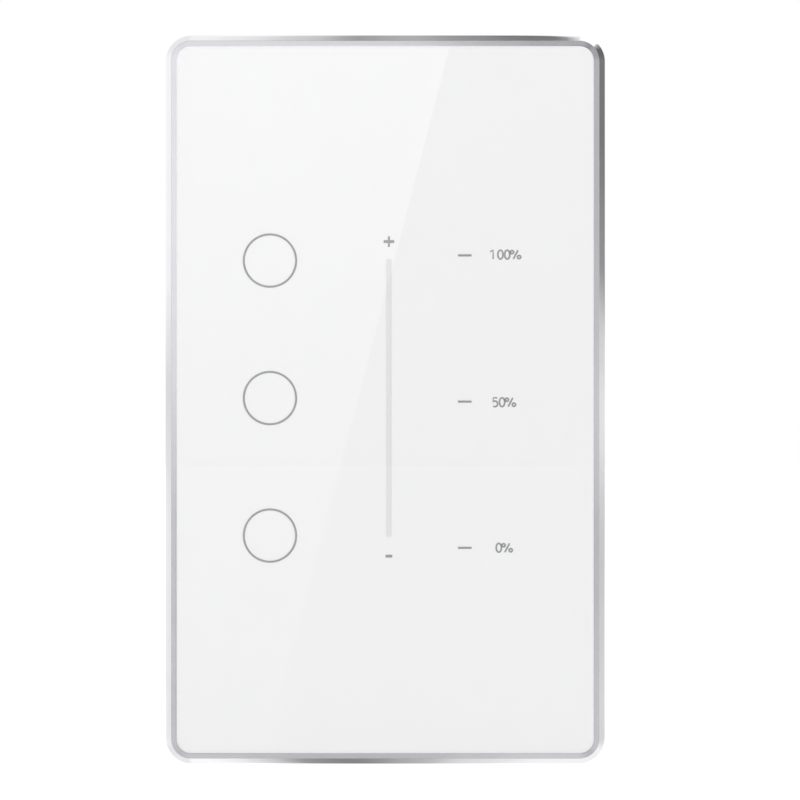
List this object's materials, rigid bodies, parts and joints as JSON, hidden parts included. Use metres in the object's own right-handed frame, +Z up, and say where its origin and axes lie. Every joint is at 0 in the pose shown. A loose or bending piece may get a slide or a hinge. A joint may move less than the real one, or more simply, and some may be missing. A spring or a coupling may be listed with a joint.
{
  "type": "smart dimmer switch",
  "caption": "Flat glass wall dimmer with a slim metal rim, touch rings, a dimming strip with a scale, a clip-on panel and a rear housing for a single wall box.",
  "frame": {"origin": "middle of the wall plane, halfway between the two wall box screw slots", "axes": "+X right as seen from the room, +Z up, +Y into the wall; the glass faces -Y"},
  "size_m": [0.0724, 0.036, 0.12],
  "materials": {
    "clear_glass": "polished",
    "polished_frame": "polished",
    "white_print": "even white print",
    "grey_ink": "fine grey ink",
    "pale_ink": "pale grey ink",
    "tape": "adhesive foam",
    "white_plastic": "moulded satin",
    "light_guide": "frosted clear",
    "pad_foam": "conductive foam",
    "circuit_board": "solder mask",
    "lamp_chip": "lamp",
    "black_plastic": "moulded",
    "tinned_steel": "tinned",
    "gold_pins": "plated",
    "zinc_steel": "zinc plated",
    "green_screw": "green plated",
    "housing_plastic": "moulded fine grain",
    "terminal_plastic": "moulded",
    "aluminium": "rolled",
    "yellow_film": "cast",
    "can_sleeve": "shrink sleeve",
    "blue_coat": "dipped",
    "fuse_glass": "ceramic tube",
    "ferrite": "sintered"
  },
  "bodies": {
    "wall_base": {"base_plate": "white_plastic", "yoke": "zinc_steel", "ground_screw": "green_screw", "rear_housing": "housing_plastic", "housing_screws": "zinc_steel", "power_board": "circuit_board", "socket_header": "black_plastic", "terminal_block": "terminal_plastic", "terminal_clamps": "zinc_steel", "terminal_screws": "zinc_steel", "heat_sink": "aluminium", "dimmer_triac": "black_plastic", "film_capacitor": "yellow_film", "electrolytic_capacitors": "can_sleeve", "varistor": "blue_coat", "mains_fuse": "fuse_glass", "transformer_core": "ferrite", "transformer_winding": "yellow_film", "bridge_rectifier": "black_plastic", "driver_chip": "black_plastic"},
    "front_panel": {"glass_panel": "clear_glass", "panel_frame": "polished_frame", "back_print": "white_print", "ring_marks": "grey_ink", "scale_marks": "grey_ink", "slider_strip": "pale_ink", "glass_tape": "tape", "panel_carrier": "white_plastic", "touch_board": "circuit_board", "carrier_screws": "zinc_steel", "light_guide_top": "light_guide", "light_guide_middle": "light_guide", "light_guide_bottom": "light_guide", "slider_light_guide": "light_guide", "touch_pad_top": "pad_foam", "touch_pad_middle": "pad_foam", "touch_pad_bottom": "pad_foam", "ring_lamps": "lamp_chip", "slider_lamps": "lamp_chip", "radio_module": "circuit_board", "radio_shield": "tinned_steel", "touch_chip": "black_plastic", "pin_header": "black_plastic", "header_pins": "gold_pins"}
  },
  "joints": [
    {"name": "panel_pull", "type": "slide", "parent": "wall_base", "child": "front_panel", "axis": [0, -1, 0], "range_m": [0, 0.03]}
  ]
}
